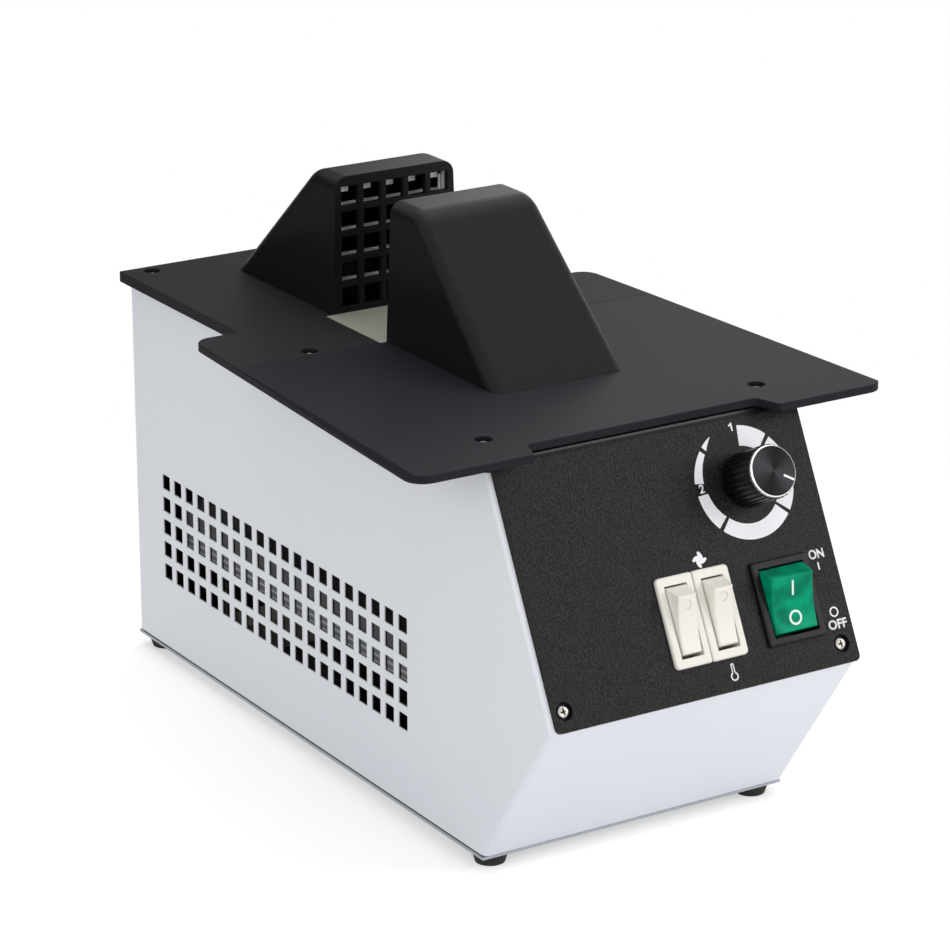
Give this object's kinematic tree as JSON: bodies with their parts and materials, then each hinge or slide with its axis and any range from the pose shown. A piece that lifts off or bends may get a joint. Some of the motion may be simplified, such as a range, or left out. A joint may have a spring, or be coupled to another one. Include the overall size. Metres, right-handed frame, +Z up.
{
  "type": "eyeglass frame warmer",
  "caption": "Countertop hot-air warmer for eyeglass frames, with two facing air hoods on a black shelf, a vented white case, rocker switches and a dial knob.",
  "frame": {"origin": "on the counter, under the middle of the machine", "axes": "+X to the right seen from the control panel, +Y from the panel to the back, +Z up"},
  "size_m": [0.217, 0.3385, 0.2307],
  "materials": {
    "white_steel": "powder coat",
    "galvanised": "dull zinc",
    "black_plate": "fine matt",
    "black_panel": "leather-grain texture",
    "black_hood": "satin",
    "grey_board": "matt",
    "rubber": "matt",
    "screw_steel": "nickel plated",
    "green_lens": "translucent",
    "black_frame": "satin",
    "cream_rocker": "gloss",
    "cream_frame": "gloss",
    "knob_black": "black anodised",
    "knob_rim": "brushed, bright chamfer",
    "pointer_white": "printed",
    "black_nylon": "moulded",
    "brass": "plain",
    "mica": "matt",
    "heater_wire": "oxidised",
    "motor_steel": "dull",
    "axle_steel": "ground",
    "block_white": "moulded"
  },
  "bodies": {
    "case": {"housing": "white_steel", "base_pan": "white_steel", "foot": "rubber", "foot_screw": "screw_steel", "back_panel": "white_steel", "back_screw": "screw_steel", "rear_plate": "black_plate", "rear_plate_screw": "screw_steel", "front_plate": "black_plate", "front_plate_screw": "screw_steel", "gap_floor": "grey_board", "front_hood": "black_hood", "rear_hood": "black_hood", "front_liner": "galvanised", "rear_liner": "galvanised", "hood_screw": "screw_steel", "control_panel": "black_panel", "panel_screw": "screw_steel", "main_switch": "black_frame", "main_terminals": "brass", "heat_switch": "cream_frame", "heat_terminals": "brass", "air_switch": "cream_frame", "air_terminals": "brass", "potentiometer": "black_nylon", "potentiometer_nut": "screw_steel", "blower_scroll": "galvanised", "blower_saddle": "galvanised", "blower_motor": "motor_steel", "motor_bearing": "brass", "heat_shield": "galvanised", "shield_post": "axle_steel", "plenum": "galvanised", "front_stack": "galvanised", "rear_stack": "galvanised", "front_heater_boards": "mica", "rear_heater_boards": "mica", "front_heater_coils": "heater_wire", "rear_heater_coils": "heater_wire", "thermal_cutout": "black_nylon", "terminal_block": "block_white", "power_inlet": "black_nylon", "inlet_pin": "brass", "inlet_screw": "screw_steel"},
    "main_rocker": {"main_rocker": "green_lens"},
    "heat_rocker": {"heat_rocker": "cream_rocker"},
    "air_rocker": {"air_rocker": "cream_rocker"},
    "knob": {"knob": "knob_black", "knob_cap": "knob_rim", "knob_pointer": "pointer_white", "knob_shaft": "axle_steel"},
    "blower_wheel": {"impeller": "galvanised", "motor_shaft": "axle_steel"}
  },
  "joints": [
    {"name": "main_rocker_tilt", "type": "hinge", "parent": "case", "child": "main_rocker", "pos_m": [0.0445, -0.15443, 0.10045], "axis": [1, 0, 0], "range_deg": [-30, 0]},
    {"name": "heat_rocker_tilt", "type": "hinge", "parent": "case", "child": "heat_rocker", "pos_m": [-0.00445, -0.15388, 0.10152], "axis": [1, 0, 0], "range_deg": [-30, 0]},
    {"name": "air_rocker_tilt", "type": "hinge", "parent": "case", "child": "air_rocker", "pos_m": [0.01245, -0.15388, 0.10152], "axis": [1, 0, 0], "range_deg": [-30, 0]},
    {"name": "knob_turn", "type": "hinge", "parent": "case", "child": "knob", "pos_m": [0.0391, -0.13183, 0.14348], "axis": [0, -0.8919, 0.4522], "range_deg": [-179, 121]},
    {"name": "blower_spin", "type": "hinge", "parent": "case", "child": "blower_wheel", "pos_m": [0, 0.03845, 0.0392], "axis": [1, 0, 0], "continuous": true}
  ]
}
